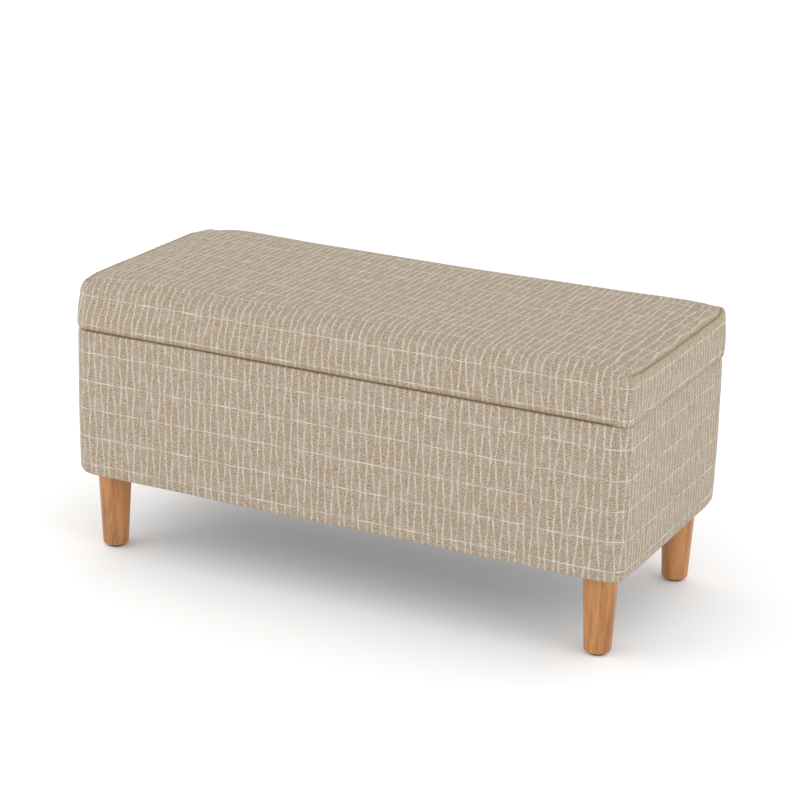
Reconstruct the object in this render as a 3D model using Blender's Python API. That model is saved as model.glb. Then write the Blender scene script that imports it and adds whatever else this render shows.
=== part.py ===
"""Storage ottoman bench: an upholstered box on four turned legs, under a padded lid that hinges up.

Metres, +Z up. The origin is on the floor under the middle of the bench. +X runs along its length and
-Y is its front, so the lid's hinges are at +Y. The lid is closed.
"""

import math

import bmesh
import bpy
from mathutils import Matrix, Vector

# --- Driving dimensions -------------------------------------------------------------------------

LENGTH, DEPTH, HEIGHT = 1.000, 0.436, 0.479  # the closed bench, over the lid
UNDER_BODY = 0.1375  # from the floor to the underside of the body
LID_UNDERSIDE = 0.395
LID_GAP = 0.003  # between the body's rim and the lid
BODY_LENGTH, BODY_DEPTH = 0.994, 0.433

FABRIC = 0.0012
PADDING = 0.006  # foam sheet glued round the body
PANEL = 0.012
LINER = 0.001
BOTTOM_PANEL = 0.015
LID_BOARD = 0.012
FIT = 0.0003  # gap between pieces that touch

BODY_CORNER = 0.018  # plan radius of the body's upright corners
BODY_EDGE = 0.007
LID_BOTTOM_CORNER, LID_TOP_CORNER = 0.018, 0.034  # plan radii at the board and at the seat
LID_BOTTOM_EDGE, LID_TOP_EDGE = 0.006, 0.024
CORNER_BLOCK = 0.030  # leg of the triangular blocks in the body's corners
HEM_BELOW_RIM = 0.026  # the cover turns down this far inside the rim
WRAP_UNDER = 0.030  # and this far in under the body
LID_WRAP_UNDER = 0.040

LEG_INSET_X, LEG_INSET_Y = 0.049, 0.046  # from the body's outer faces to a leg's centre
LEG_TOP_RADIUS, LEG_FOOT_RADIUS, LEG_FOOT_EDGE = 0.0285, 0.0220, 0.004
GLIDE_RADIUS, GLIDE_HEIGHT = 0.015, 0.0037
BOLT_RADIUS, BOLT_BELOW, BOLT_POINT = 0.0039, 0.036, 0.006  # M8 hanger bolt
TEE_FLANGE_RADIUS, TEE_FLANGE, TEE_BARREL_RADIUS, TEE_BARREL = 0.011, 0.0014, 0.0052, 0.0085

HINGE_Y = DEPTH / 2 - 0.0024
HINGE_Z = LID_UNDERSIDE - LID_GAP / 2
HINGE_X = 0.300  # each hinge's centre, left and right of the middle
LEAF_LENGTH, LEAF_INNER_Y, LEAF = 0.064, HINGE_Y - 0.0186, 0.00105
KNUCKLES, KNUCKLE_GAP = 5, 0.0003
KNUCKLE_RADIUS, KNUCKLE_BORE, PIN_RADIUS = 0.0022, 0.00140, 0.00120

# The stay is a parallelogram with the lid hinge: the lower arm is as long as the lid pivot is from
# the hinge, and the upper arm as long as the wall pivot is, so each arm turns as far as the lid does.
WALL_PIVOT = Vector((0, HINGE_Y - 0.070, HINGE_Z - 0.115))
LID_PIVOT = Vector((0, HINGE_Y - 0.170, HINGE_Z - 0.013))
ELBOW = WALL_PIVOT + LID_PIVOT - Vector((0, HINGE_Y, HINGE_Z))
ARM, ARM_HALF_WIDTH, ARM_GAP = 0.002, 0.008, 0.0005
RIVET_RADIUS, RIVET_HEAD_RADIUS, RIVET_HEAD, RIVET_CLEARANCE = 0.0028, 0.0052, 0.0012, 0.0003

BUMPER_RADIUS = 0.0045
CORNER_STEPS, EDGE_STEPS = 6, 5
ROUND_STEPS, SMALL_ROUND_STEPS = 32, 20

SIDES = (("left", -1), ("right", 1))
CORNERS = (("front_left", -1, -1), ("front_right", 1, -1), ("back_left", -1, 1), ("back_right", 1, 1))

# --- Derived places -----------------------------------------------------------------------------

BODY_TOP = LID_UNDERSIDE - LID_GAP
BODY_X, BODY_Y = BODY_LENGTH / 2, BODY_DEPTH / 2
LID_X, LID_Y = LENGTH / 2, DEPTH / 2
PAD_OUT = FABRIC + FIT  # insets from the body's outer faces
PAD_IN = PAD_OUT + PADDING
PANEL_OUT = PAD_IN + FIT
PANEL_IN = PANEL_OUT + PANEL
LINING = PANEL_IN + FIT
FRAME_BOTTOM = UNDER_BODY + FABRIC + FIT
FRAME_TOP = BODY_TOP - FABRIC - FIT
FLOOR_TOP = FRAME_BOTTOM + BOTTOM_PANEL
BOARD_BOTTOM = LID_UNDERSIDE + FABRIC + FIT
BOARD_TOP = BOARD_BOTTOM + LID_BOARD
BOARD_INSET = FABRIC + FIT + PADDING
LEG_TOP = UNDER_BODY - FIT
LEG_X, LEG_Y = BODY_X - LEG_INSET_X, BODY_Y - LEG_INSET_Y
# Faces of the stay's layers, from the end wall inwards.
STAY_WALL = BODY_X - LINING - FABRIC - ARM_GAP
BRACKET = 0.0015
LOWER_ARM_X = STAY_WALL - BRACKET - ARM_GAP
UPPER_ARM_X = LOWER_ARM_X - ARM - ARM_GAP


# --- Materials ----------------------------------------------------------------------------------


def material(name, colour, roughness, metallic=0.0):
    made = bpy.data.materials.new(name)
    made.use_nodes = True
    shader = made.node_tree.nodes["Principled BSDF"]
    shader.inputs["Base Color"].default_value = (*colour, 1)
    shader.inputs["Roughness"].default_value = roughness
    shader.inputs["Metallic"].default_value = metallic
    made.diffuse_color = (*colour, 1)
    return made


def make_materials():
    return {
        "upholstery": material("upholstery", (0.50, 0.41, 0.30), 0.9),
        "leg_wood": material("leg_wood", (0.55, 0.27, 0.10), 0.45),
        "plywood": material("plywood", (0.62, 0.46, 0.28), 0.7),
        "pine": material("pine", (0.70, 0.52, 0.30), 0.7),
        "foam": material("foam", (0.80, 0.76, 0.62), 0.95),
        "lining": material("lining", (0.33, 0.29, 0.24), 0.95),
        "dust_cloth": material("dust_cloth", (0.03, 0.03, 0.03), 0.95),
        "zinc_steel": material("zinc_steel", (0.62, 0.62, 0.60), 0.35, 1.0),
        "plastic": material("plastic", (0.05, 0.045, 0.04), 0.5),
        "felt": material("felt", (0.30, 0.24, 0.18), 0.95),
    }


# --- Outlines, each a list of (x, y) that runs anticlockwise -----------------------------------------


def arc(centre_x, centre_y, radius, start, end, steps):
    angles = [math.radians(start + (end - start) * i / steps) for i in range(steps + 1)]
    return [(centre_x + radius * math.cos(a), centre_y + radius * math.sin(a)) for a in angles]


def round_rectangle(half_x, half_y, radius):
    points = []
    for start, side_x, side_y in ((0, 1, 1), (90, -1, 1), (180, -1, -1), (270, 1, -1)):
        centre = (side_x * (half_x - radius), side_y * (half_y - radius))
        points += arc(*centre, radius, start, start + 90, CORNER_STEPS)
    return points


def chamfered_rectangle(half_x, half_y, chamfer):
    """Straight cuts across the corners, with as many points as round_rectangle has."""
    points = []
    for side_x, side_y, turn in ((1, 1, False), (-1, 1, True), (-1, -1, False), (1, -1, True)):
        cut = []
        for i in range(CORNER_STEPS + 1):
            along = chamfer * i / CORNER_STEPS
            cut.append((side_x * (half_x - along), side_y * (half_y - chamfer + along)))
        points += reversed(cut) if turn else cut
    return points


def circle(radius, steps):
    return arc(0, 0, radius, 0, 360 - 360 / steps, steps - 1)


def stadium(start, end, radius, steps):
    """The outline of an arm: two round ends about start and end, joined by straight sides."""
    heading = math.degrees(math.atan2(end[1] - start[1], end[0] - start[0]))
    tip = arc(*end, radius, heading - 90, heading + 90, steps)
    return tip + arc(*start, radius, heading + 90, heading + 270, steps)


# --- Solids -------------------------------------------------------------------------------------


def add_object(name, mesh, surface):
    made = bpy.data.objects.new(name, mesh)
    bpy.context.scene.collection.objects.link(made)
    made.data.materials.append(surface)
    return made


def finish_mesh(name, bm, surface, smooth_below=None):
    bmesh.ops.recalc_face_normals(bm, faces=bm.faces)
    mesh = bpy.data.meshes.new(name)
    bm.to_mesh(mesh)
    bm.free()
    if smooth_below is not None:
        mesh.shade_smooth()
        mesh.set_sharp_from_angle(angle=math.radians(smooth_below))
    return add_object(name, mesh, surface)


def swept(name, levels, surface, ring=False):
    """Skins a chain of levels, each (z, outline). A ring closes on itself; otherwise both ends are capped."""
    bm = bmesh.new()
    loops = [[bm.verts.new((x, y, z)) for x, y in outline] for z, outline in levels]
    pairs = list(zip(loops, loops[1:]))
    if ring:
        pairs.append((loops[-1], loops[0]))
    for lower, upper in pairs:
        for i in range(len(lower)):
            j = (i + 1) % len(lower)
            bm.faces.new((lower[i], lower[j], upper[j], upper[i]))
    if not ring:
        bm.faces.new(loops[0])
        bm.faces.new(loops[-1])
    return finish_mesh(name, bm, surface, smooth_below=40)


def turned(name, profile, surface, location, ring=False, steps=ROUND_STEPS, along_x=False):
    """A round piece from its (radius, z) profile, standing at location, or lying along X."""
    made = swept(name, [(z, circle(radius, steps)) for radius, z in profile], surface, ring)
    if along_x:
        made.rotation_euler = (0, math.radians(90), 0)
    made.location = location
    return made


def board(name, low, high, surface, edge=0.0005):
    """A rectangular board between two corners, with its arrises eased."""
    bm = bmesh.new()
    bmesh.ops.create_cube(bm, size=1)
    size = Vector(high) - Vector(low)
    bmesh.ops.scale(bm, vec=size, verts=bm.verts)
    made = finish_mesh(name, bm, surface)
    made.location = (Vector(low) + Vector(high)) / 2
    if edge:
        bevel = made.modifiers.new("eased_edges", "BEVEL")
        bevel.width = edge
        bevel.segments = 1
    return made


def plate(name, outline, holes, thickness, surface):
    """A flat plate cut from sheet along an outline of (y, z), with round holes, lying in the YZ plane."""
    curve = bpy.data.curves.new(name, "CURVE")
    curve.dimensions = "2D"
    curve.fill_mode = "BOTH"
    curve.extrude = thickness / 2
    for points in [outline] + [arc(y, z, radius, 360, 0, SMALL_ROUND_STEPS)[:-1] for y, z, radius in holes]:
        spline = curve.splines.new("POLY")
        spline.points.add(len(points) - 1)
        spline.use_cyclic_u = True
        for point, (y, z) in zip(spline.points, points):
            point.co = (y, z, 0, 1)
    made = add_object(name, curve, surface)
    # The curve's own X and Y become the frame's Y and Z, and its thickness runs along X.
    made.rotation_euler = (math.radians(90), 0, math.radians(90))
    return made


def with_boolean(target, tool, operation):
    """Cuts the tool from the target, or joins it on. The tool stays as a wire helper."""
    tool.hide_render = True
    tool.display_type = "WIRE"
    modifier = target.modifiers.new(operation.lower(), "BOOLEAN")
    modifier.operation = operation
    modifier.object = tool


def edge_insets(radius, upwards):
    """(inset, height above the start) of a quarter-round edge, going up from the face or up to it."""
    quarter = [math.radians(90 * i / EDGE_STEPS) for i in range(EDGE_STEPS + 1)]
    if upwards:  # from the upright wall in to the top face
        return [(radius * (1 - math.cos(a)), radius * math.sin(a)) for a in quarter]
    return [(radius * (1 - math.sin(a)), radius * (1 - math.cos(a))) for a in quarter]


# --- Body: frame, padding and cover ---------------------------------------------------------------


def body_outline(inset):
    return round_rectangle(BODY_X - inset, BODY_Y - inset, max(BODY_CORNER - inset, 0.002))


def inner_outline(inset):
    """Follows the inner walls and the corner blocks' slanting faces."""
    extra = inset - PANEL_IN
    chamfer = CORNER_BLOCK + 2 * FIT + (2 - math.sqrt(2)) * extra
    return chamfered_rectangle(BODY_X - inset, BODY_Y - inset, chamfer)


def make_panels(mat):
    """Front and back boards with rounded ends run the full length, and the end boards fit between."""
    outer_x, outer_y = BODY_X - PANEL_OUT, BODY_Y - PANEL_OUT
    inner_x, inner_y = BODY_X - PANEL_IN, BODY_Y - PANEL_IN
    radius = BODY_CORNER - PANEL_OUT
    outline = [(outer_x, -inner_y), (-outer_x, -inner_y)]
    outline += arc(radius - outer_x, radius - outer_y, radius, 180, 270, CORNER_STEPS)
    outline += arc(outer_x - radius, radius - outer_y, radius, 270, 360, CORNER_STEPS)
    for name, turn in (("front", 0), ("back", 180)):
        panel = swept(f"{name}_panel", [(FRAME_BOTTOM, outline), (FRAME_TOP, outline)], mat["plywood"])
        panel.rotation_euler = (0, 0, math.radians(turn))
    for name, side in SIDES:
        near, far = sorted((side * inner_x, side * outer_x))
        half_y = inner_y - FIT
        board(f"{name}_panel", (near, -half_y, FRAME_BOTTOM), (far, half_y, FRAME_TOP), mat["plywood"])


def make_bottom_panel(mat):
    half_x, half_y = BODY_X - PANEL_IN - FIT, BODY_Y - PANEL_IN - FIT
    panel = board("bottom_panel", (-half_x, -half_y, FRAME_BOTTOM), (half_x, half_y, FLOOR_TOP), mat["plywood"], 0)
    recess_floor = -TEE_FLANGE - 2 * FIT
    profile = (
        (TEE_BARREL_RADIUS + FIT, -BOTTOM_PANEL - 0.002),
        (TEE_BARREL_RADIUS + FIT, recess_floor),
        (TEE_FLANGE_RADIUS + FIT, recess_floor),
        (TEE_FLANGE_RADIUS + FIT, 0.002),
    )
    for corner, side_x, side_y in CORNERS:
        place = (side_x * LEG_X, side_y * LEG_Y, FLOOR_TOP)
        hole = turned(f"tee_nut_hole_{corner}", profile, mat["plywood"], place, steps=SMALL_ROUND_STEPS)
        with_boolean(panel, hole, "DIFFERENCE")


def make_corner_blocks(mat):
    """Triangular glue blocks that tie the boards together, from the floor to the rim."""
    corner_x, corner_y = BODY_X - PANEL_IN - FIT, BODY_Y - PANEL_IN - 2 * FIT
    for corner, side_x, side_y in CORNERS:
        outline = [
            (side_x * corner_x, side_y * corner_y),
            (side_x * (corner_x - CORNER_BLOCK), side_y * corner_y),
            (side_x * corner_x, side_y * (corner_y - CORNER_BLOCK)),
        ]
        levels = [(FLOOR_TOP + FIT, outline), (FRAME_TOP, outline)]
        swept(f"corner_block_{corner}", levels, mat["pine"])


def make_padding(mat):
    """A strip of foam glued round the frame, with its ends butted in the middle of the back."""
    edge = BODY_EDGE - PAD_OUT

    def strip_outline(inset):
        outer = round_rectangle(BODY_X - inset, BODY_Y - inset, BODY_CORNER - inset)
        inner = round_rectangle(BODY_X - PAD_IN, BODY_Y - PAD_IN, BODY_CORNER - PAD_IN)
        # Both start at the back right corner; the strip's ends come after that corner's arc.
        split = CORNER_STEPS + 1
        outer = outer[split:] + outer[:split]
        inner = inner[split:] + inner[:split]
        ends = [(-FIT / 2, BODY_Y - inset)] + outer + [(FIT / 2, BODY_Y - inset)]
        back = [(FIT / 2, BODY_Y - PAD_IN)] + list(reversed(inner)) + [(-FIT / 2, BODY_Y - PAD_IN)]
        return ends + back

    levels = [(FRAME_BOTTOM + height, strip_outline(PAD_OUT + inset)) for inset, height in edge_insets(edge, False)]
    for inset, height in edge_insets(edge, True):
        levels.append((FRAME_TOP - edge + height, strip_outline(PAD_OUT + inset)))
    swept("body_padding", levels, mat["foam"])


def make_body_cover(mat):
    """The sewn sleeve: up the outside, over the rim, a hem inside, and a turned-in edge underneath."""
    rim_in, hem_bottom = LINING + FABRIC, BODY_TOP - HEM_BELOW_RIM
    levels = [(UNDER_BODY + FABRIC, body_outline(WRAP_UNDER)), (UNDER_BODY, body_outline(WRAP_UNDER))]
    for inset, height in edge_insets(BODY_EDGE, False):
        levels.append((UNDER_BODY + height, body_outline(inset)))
    for inset, height in edge_insets(BODY_EDGE, True):
        levels.append((BODY_TOP - BODY_EDGE + height, body_outline(inset)))
    levels += [
        (BODY_TOP, inner_outline(rim_in - FABRIC)),
        (BODY_TOP - FABRIC, inner_outline(rim_in)),
        (hem_bottom, inner_outline(rim_in)),
        (hem_bottom, inner_outline(LINING)),
        (BODY_TOP - FABRIC, inner_outline(LINING)),
    ]
    inner_edge = BODY_EDGE - FABRIC
    for inset, height in reversed(edge_insets(inner_edge, True)):
        levels.append((BODY_TOP - BODY_EDGE + height, body_outline(FABRIC + inset)))
    for inset, height in reversed(edge_insets(inner_edge, False)):
        levels.append((UNDER_BODY + FABRIC + height, body_outline(FABRIC + inset)))
    swept("body_cover", levels, mat["upholstery"], ring=True)


def make_lining(mat):
    """An open bag of lining cloth that stands on the bottom panel and stops at the cover's hem."""
    bottom, top = FLOOR_TOP + FIT, BODY_TOP - HEM_BELOW_RIM - FIT
    levels = [
        (bottom, inner_outline(LINING)),
        (top, inner_outline(LINING)),
        (top, inner_outline(LINING + LINER)),
        (bottom + LINER, inner_outline(LINING + LINER)),
    ]
    swept("storage_lining", levels, mat["lining"])


def make_dust_cover(mat):
    """Black cloth under the body, inside the cover's turned-in edge, with a hole for each leg's bolt."""
    outline = body_outline(WRAP_UNDER + FIT)
    low, high = UNDER_BODY + FIT, FRAME_BOTTOM - FIT
    cloth = swept("dust_cover", [(low, outline), (high, outline)], mat["dust_cloth"])
    reach = 0.005
    profile = ((BOLT_RADIUS + 4 * FIT, -reach), (BOLT_RADIUS + 4 * FIT, reach))
    for corner, side_x, side_y in CORNERS:
        place = (side_x * LEG_X, side_y * LEG_Y, UNDER_BODY)
        hole = turned(f"bolt_hole_{corner}", profile, mat["dust_cloth"], place, steps=SMALL_ROUND_STEPS)
        with_boolean(cloth, hole, "DIFFERENCE")


# --- Legs -----------------------------------------------------------------------------------------


def make_legs(mat):
    foot = GLIDE_HEIGHT + FIT
    bore = BOLT_RADIUS + FIT
    rounded = [
        (LEG_FOOT_RADIUS - inset, foot + height) for inset, height in reversed(edge_insets(LEG_FOOT_EDGE, False))
    ]
    leg = [(bore, LEG_TOP - BOLT_BELOW - FIT), (bore, LEG_TOP), (LEG_TOP_RADIUS, LEG_TOP)] + rounded
    glide = (
        (GLIDE_RADIUS - 0.001, 0),
        (GLIDE_RADIUS, 0.001),
        (GLIDE_RADIUS, GLIDE_HEIGHT),
    )
    bolt_top = FLOOR_TOP - 2 * FIT
    bolt = (
        (BOLT_RADIUS * 0.25, LEG_TOP - BOLT_BELOW),
        (BOLT_RADIUS * 0.85, LEG_TOP - BOLT_BELOW + BOLT_POINT),
        (BOLT_RADIUS * 0.85, LEG_TOP - BOLT_POINT),
        (BOLT_RADIUS, LEG_TOP - BOLT_POINT),
        (BOLT_RADIUS, bolt_top - 0.0008),
        (BOLT_RADIUS - 0.0008, bolt_top),
    )
    flange_top = FLOOR_TOP - FIT
    tee_bore = BOLT_RADIUS + FIT
    tee_nut = (
        (tee_bore, flange_top),
        (TEE_FLANGE_RADIUS, flange_top),
        (TEE_FLANGE_RADIUS, flange_top - TEE_FLANGE),
        (TEE_BARREL_RADIUS, flange_top - TEE_FLANGE),
        (TEE_BARREL_RADIUS, flange_top - TEE_FLANGE - TEE_BARREL),
        (tee_bore, flange_top - TEE_FLANGE - TEE_BARREL),
    )
    for corner, side_x, side_y in CORNERS:
        place = (side_x * LEG_X, side_y * LEG_Y, 0)
        turned(f"leg_{corner}", leg, mat["leg_wood"], place)
        turned(f"glide_{corner}", glide, mat["plastic"], place)
        turned(f"hanger_bolt_{corner}", bolt, mat["zinc_steel"], place, steps=SMALL_ROUND_STEPS)
        turned(f"tee_nut_{corner}", tee_nut, mat["zinc_steel"], place, ring=True, steps=SMALL_ROUND_STEPS)


# --- Lid ------------------------------------------------------------------------------------------


def lid_outline(inset, z):
    """The lid's corners open out from the board's radius to the seat's, going up."""
    share = (z - LID_UNDERSIDE) / (HEIGHT - LID_UNDERSIDE)
    radius = LID_BOTTOM_CORNER + (LID_TOP_CORNER - LID_BOTTOM_CORNER) * share
    return round_rectangle(LID_X - inset, LID_Y - inset, max(radius - inset, 0.002))


def lower_side_levels(skin):
    """The padded sides' rounded lower edge, moved in by the thickness of the skin."""
    levels = []
    for inset, height in edge_insets(LID_BOTTOM_EDGE - skin, False):
        z = LID_UNDERSIDE + skin + height
        levels.append((z, lid_outline(skin + inset, z)))
    return levels


def upper_side_levels(skin):
    """The padded sides' soft upper edge, up to the seat."""
    levels = []
    for inset, height in edge_insets(LID_TOP_EDGE - skin, True):
        z = HEIGHT - LID_TOP_EDGE + height
        levels.append((z, lid_outline(skin + inset, z)))
    return levels


def board_outline(gap):
    """Round the lid board, a gap away from its edges."""
    half_x, half_y = LID_X - BOARD_INSET - FIT + gap, LID_Y - BOARD_INSET - FIT + gap
    return round_rectangle(half_x, half_y, LID_BOTTOM_CORNER - PADDING)


def make_lid_board(mat):
    outline = board_outline(0)
    swept("lid_board", [(BOARD_BOTTOM, outline), (BOARD_TOP, outline)], mat["plywood"])


def make_lid_foam(mat):
    """The seat foam on the board, and a strip of padding round the board's edges."""
    skin = FABRIC + FIT
    base = BOARD_TOP + FIT
    levels = [(base, lid_outline(skin, base))] + upper_side_levels(skin)
    swept("lid_foam", levels, mat["foam"])
    around = board_outline(FIT)
    levels = [(BOARD_TOP, around), (BOARD_BOTTOM, around)]
    levels += lower_side_levels(skin) + [(BOARD_TOP, lid_outline(skin, BOARD_TOP))]
    swept("lid_edge_padding", levels, mat["foam"], ring=True)


def make_lid_cover(mat):
    """The seat cover, drawn round the foam and turned in under the board."""
    turned_in = lid_outline(LID_WRAP_UNDER, LID_UNDERSIDE)
    levels = list(reversed(lower_side_levels(FABRIC) + upper_side_levels(FABRIC)))
    levels += [(LID_UNDERSIDE + FABRIC, turned_in), (LID_UNDERSIDE, turned_in)]
    levels += lower_side_levels(0) + upper_side_levels(0)
    swept("lid_cover", levels, mat["upholstery"])


def make_lid_lining(mat):
    """Lining cloth inside the edge of the cover, under the board."""
    outline = lid_outline(LID_WRAP_UNDER + FIT, LID_UNDERSIDE)
    swept("lid_lining", [(LID_UNDERSIDE, outline), (LID_UNDERSIDE + LINER, outline)], mat["lining"])


# --- Hinges, stays and bumpers --------------------------------------------------------------------------


def hinge_leaf(name, centre_x, low_z, own_knuckles, surface):
    """A leaf with its share of the knuckles rolled round the pin's axis."""
    pitch = LEAF_LENGTH / KNUCKLES
    barrel_side = HINGE_Y - KNUCKLE_RADIUS - 2 * FIT
    start = centre_x - LEAF_LENGTH / 2
    high_z = low_z + LEAF
    leaf = board(name, (start, LEAF_INNER_Y, low_z), (start + LEAF_LENGTH, barrel_side, high_z), surface, 0)
    for index in own_knuckles:
        near, far = start + index * pitch + KNUCKLE_GAP / 2, start + (index + 1) * pitch - KNUCKLE_GAP / 2
        tab = board(f"{name}_tab_{index}", (near, barrel_side - 0.001, low_z), (far, HINGE_Y, high_z), surface, 0)
        with_boolean(leaf, tab, "UNION")
        knuckle = turned(
            f"{name}_knuckle_{index}",
            ((KNUCKLE_RADIUS, near), (KNUCKLE_RADIUS, far)),
            surface,
            (0, HINGE_Y, HINGE_Z),
            steps=SMALL_ROUND_STEPS,
            along_x=True,
        )
        with_boolean(leaf, knuckle, "UNION")
    bore = ((KNUCKLE_BORE, start - 0.005), (KNUCKLE_BORE, start + LEAF_LENGTH + 0.005))
    place = (0, HINGE_Y, HINGE_Z)
    hole = turned(f"{name}_bore", bore, surface, place, steps=SMALL_ROUND_STEPS, along_x=True)
    with_boolean(leaf, hole, "DIFFERENCE")


def make_hinges(mat):
    half = LEAF_LENGTH / 2 + 0.0010
    for side, sign in SIDES:
        centre = sign * HINGE_X
        hinge_leaf(f"hinge_body_leaf_{side}", centre, BODY_TOP + FIT, (0, 2, 4), mat["zinc_steel"])
        hinge_leaf(f"hinge_lid_leaf_{side}", centre, LID_UNDERSIDE - FIT - LEAF, (1, 3), mat["zinc_steel"])
        pin = ((PIN_RADIUS, centre - half), (PIN_RADIUS, centre + half))
        place = (0, HINGE_Y, HINGE_Z)
        turned(f"hinge_pin_{side}", pin, mat["zinc_steel"], place, steps=SMALL_ROUND_STEPS, along_x=True)


def rivet(name, pivot, sign, wall_face, room_face, surface):
    """A rivet along X through the pieces between two faces, with a head on the face towards the room."""
    profile = (
        (RIVET_RADIUS, wall_face),
        (RIVET_RADIUS, room_face - FIT),
        (RIVET_HEAD_RADIUS, room_face - FIT),
        (RIVET_HEAD_RADIUS, room_face - FIT - RIVET_HEAD * 0.5),
        (RIVET_HEAD_RADIUS * 0.7, room_face - FIT - RIVET_HEAD),
    )
    profile = [(radius, sign * x) for radius, x in profile]
    turned(name, profile, surface, (0, pivot.y, pivot.z), steps=SMALL_ROUND_STEPS, along_x=True)


def make_stay_arms(side, sign, surface):
    hole = RIVET_RADIUS + RIVET_CLEARANCE
    for name, face, start, end in (
        ("lower", LOWER_ARM_X, WALL_PIVOT, ELBOW),
        ("upper", UPPER_ARM_X, ELBOW, LID_PIVOT),
    ):
        outline = stadium(start.yz, end.yz, ARM_HALF_WIDTH, 8)
        holes = [(*start.yz, hole), (*end.yz, hole)]
        arm = plate(f"stay_{name}_arm_{side}", outline, holes, ARM, surface)
        arm.location.x = sign * (face - ARM / 2)


def make_wall_bracket(side, sign, surface):
    """A plate on the end wall with a hole for the stay's rivet and one for a screw above and below it."""
    half_y, half_z, corner, screw, spread = 0.011, 0.024, 0.006, 0.0022, 0.015
    outline = [(WALL_PIVOT.y + y, WALL_PIVOT.z + z) for y, z in round_rectangle(half_y, half_z, corner)]
    holes = [(*WALL_PIVOT.yz, RIVET_RADIUS + FIT)]
    holes += [(WALL_PIVOT.y, WALL_PIVOT.z + z, screw) for z in (-spread, spread)]
    bracket = plate(f"stay_wall_bracket_{side}", outline, holes, BRACKET, surface)
    bracket.location.x = sign * (STAY_WALL - BRACKET / 2)


def make_lid_bracket(side, sign, surface):
    """An angle: a foot screwed up into the lid board, and an ear that takes the stay's rivet."""
    half_y, foot_width, top = 0.016, 0.022, LID_UNDERSIDE - FIT
    ear_out, ear_in = LOWER_ARM_X, LOWER_ARM_X - ARM
    foot_in = ear_out - foot_width
    low = (min(sign * foot_in, sign * ear_out), LID_PIVOT.y - half_y, top - BRACKET)
    high = (max(sign * foot_in, sign * ear_out), LID_PIVOT.y + half_y, top)
    bracket = board(f"stay_lid_bracket_{side}", low, high, surface, 0)
    # The ear tapers to a round end about the pivot, and overlaps the foot by half its thickness.
    shoulder = top - BRACKET / 2
    ear_outline = [(LID_PIVOT.y + half_y * 0.9, shoulder), (LID_PIVOT.y - half_y * 0.9, shoulder)]
    ear_outline += arc(LID_PIVOT.y, LID_PIVOT.z, ARM_HALF_WIDTH * 0.9, 190, 350, 10)
    bm = bmesh.new()
    near, far = sorted((sign * ear_in, sign * ear_out))
    face = bm.faces.new([bm.verts.new((near, y, z)) for y, z in ear_outline])
    grown = bmesh.ops.extrude_face_region(bm, geom=[face])
    corners = [v for v in grown["geom"] if isinstance(v, bmesh.types.BMVert)]
    bmesh.ops.translate(bm, vec=(far - near, 0, 0), verts=corners)
    ear = finish_mesh(f"stay_lid_ear_{side}", bm, surface)
    with_boolean(bracket, ear, "UNION")
    reach = 0.005
    radius = RIVET_RADIUS + FIT
    profile = ((radius, near - reach), (radius, far + reach))
    place = (0, LID_PIVOT.y, LID_PIVOT.z)
    hole = turned(f"stay_lid_hole_{side}", profile, surface, place, steps=SMALL_ROUND_STEPS, along_x=True)
    with_boolean(bracket, hole, "DIFFERENCE")


def make_stays(mat):
    steel = mat["zinc_steel"]
    for side, sign in SIDES:
        make_wall_bracket(side, sign, steel)
        make_lid_bracket(side, sign, steel)
        make_stay_arms(side, sign, steel)
        lower_in, upper_in = LOWER_ARM_X - ARM, UPPER_ARM_X - ARM
        rivet(f"stay_wall_rivet_{side}", WALL_PIVOT, sign, STAY_WALL, lower_in, steel)
        rivet(f"stay_elbow_rivet_{side}", ELBOW, sign, LOWER_ARM_X, upper_in, steel)
        rivet(f"stay_lid_rivet_{side}", LID_PIVOT, sign, LOWER_ARM_X, upper_in, steel)


def make_bumpers(mat):
    """Felt dots on the rim's front corners that the closed lid rests on."""
    low, high = BODY_TOP + FIT, LID_UNDERSIDE - FIT
    inset = PANEL_IN - 0.002
    profile = ((BUMPER_RADIUS, low), (BUMPER_RADIUS, high - 0.0005), (BUMPER_RADIUS - 0.0005, high))
    for side, sign in SIDES:
        place = (sign * (BODY_X - inset), inset - BODY_Y, 0)
        turned(f"rim_bumper_{side}", profile, mat["felt"], place, steps=SMALL_ROUND_STEPS)


def clear_scene():
    for existing in list(bpy.data.objects):
        bpy.data.objects.remove(existing)


def main():
    clear_scene()
    mat = make_materials()
    make_panels(mat)
    make_bottom_panel(mat)
    make_corner_blocks(mat)
    make_padding(mat)
    make_body_cover(mat)
    make_lining(mat)
    make_dust_cover(mat)
    make_legs(mat)
    make_lid_board(mat)
    make_lid_foam(mat)
    make_lid_cover(mat)
    make_lid_lining(mat)
    make_hinges(mat)
    make_stays(mat)
    make_bumpers(mat)


main()
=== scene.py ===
"""Looks for the storage ottoman: sewn covers, turned legs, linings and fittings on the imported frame."""

import math

import bmesh
import bpy
import numpy as np
from mathutils import Matrix, Vector, kdtree


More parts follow.
